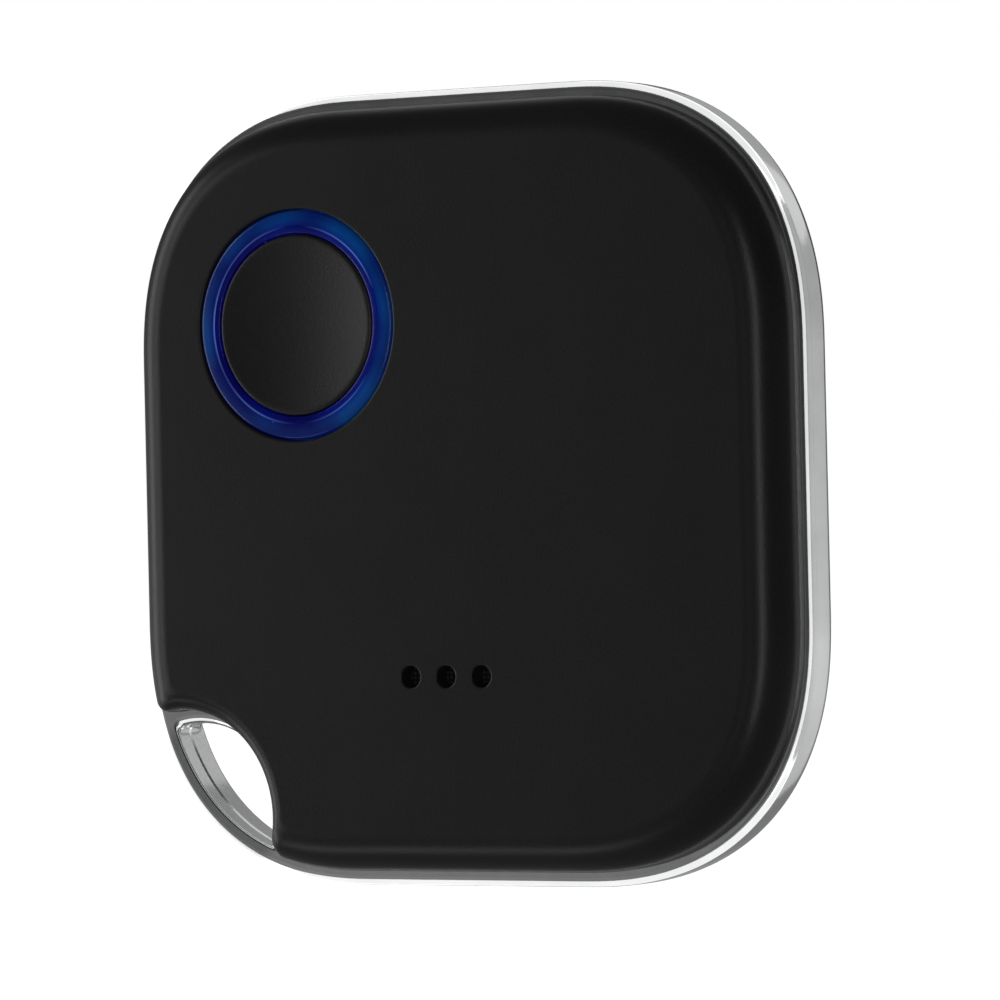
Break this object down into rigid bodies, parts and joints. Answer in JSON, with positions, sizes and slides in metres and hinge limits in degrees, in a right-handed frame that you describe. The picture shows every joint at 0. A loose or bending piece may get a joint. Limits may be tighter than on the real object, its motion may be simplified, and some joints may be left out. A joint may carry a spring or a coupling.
{
  "type": "bluetooth tracker tag",
  "caption": "Rounded square key tracker tag with a dished push button in a light ring, sound holes, a key-ring loop at one corner and a pull-off rear cover over its coin cell.",
  "frame": {"origin": "centre of the rear cover's flat back face", "axes": "+Z towards the top edge, +Y out of the back, so the front faces -Y; +X to the right as seen from the front; the key-ring loop is at the lower left"},
  "size_m": [0.036, 0.006, 0.0364],
  "materials": {
    "cover_plastic": "fine matte grain, near black",
    "button_plastic": "fine matte grain, near black",
    "frame_chrome": "bright plated, polished",
    "ring_blue": "glossy translucent blue",
    "board_laminate": "green solder mask",
    "moulded_black": "moulded black epoxy",
    "actuator_white": "satin",
    "crystal_can": "satin plated",
    "ceramic_white": "unglazed ceramic",
    "cell_steel": "bright nickel plated",
    "gasket_nylon": "satin nylon",
    "contact_spring": "nickel plated spring strip",
    "sounder_brass": "rolled brass",
    "wire_red": "satin sleeve",
    "wire_black": "satin sleeve",
    "mesh_fabric": "fine black woven mesh",
    "foam": "closed cell foam",
    "led_white": "white body, clear lens",
    "capacitor_tan": "fired ceramic",
    "screw_steel": "nickel plated"
  },
  "bodies": {
    "housing": {"front_cover": "cover_plastic", "mid_frame": "frame_chrome", "light_ring": "ring_blue", "circuit_board": "board_laminate", "switch_body": "moulded_black", "radio_chip": "moulded_black", "radio_crystal": "crystal_can", "clock_crystal": "crystal_can", "chip_antenna": "ceramic_white", "power_inductor": "moulded_black", "positive_contact": "contact_spring", "negative_contact": "contact_spring", "piezo_plate": "sounder_brass", "piezo_ceramic": "ceramic_white", "piezo_wire_1": "wire_red", "piezo_wire_2": "wire_black", "acoustic_mesh": "mesh_fabric", "led_1": "led_white", "capacitor_1": "capacitor_tan", "screw_1": "screw_steel", "led_2": "led_white", "capacitor_2": "capacitor_tan", "screw_2": "screw_steel", "led_3": "led_white", "capacitor_3": "capacitor_tan", "screw_3": "screw_steel", "led_4": "led_white", "capacitor_4": "capacitor_tan", "screw_4": "screw_steel", "resistor_1": "moulded_black", "resistor_2": "moulded_black"},
    "button": {"button_cap": "button_plastic", "switch_plunger": "actuator_white"},
    "back": {"rear_cover": "cover_plastic", "battery_pad": "foam"},
    "battery": {"battery_can": "cell_steel", "battery_gasket": "gasket_nylon", "battery_lid": "cell_steel"}
  },
  "joints": [
    {"name": "button_press", "type": "slide", "parent": "housing", "child": "button", "axis": [0, 1, 0], "range_m": [0, 0.00025], "stiffness_N_per_m": 6000},
    {"name": "rear_cover_pull", "type": "slide", "parent": "housing", "child": "back", "axis": [0, 1, 0], "range_m": [0, 0.016]},
    {"name": "battery_lift", "type": "slide", "parent": "housing", "child": "battery", "axis": [0, 1, 0], "range_m": [0, 0.008]}
  ],
  "couplings": [
    {"joint": "battery_lift", "follows": "rear_cover_pull", "ratio": 0.5}
  ]
}
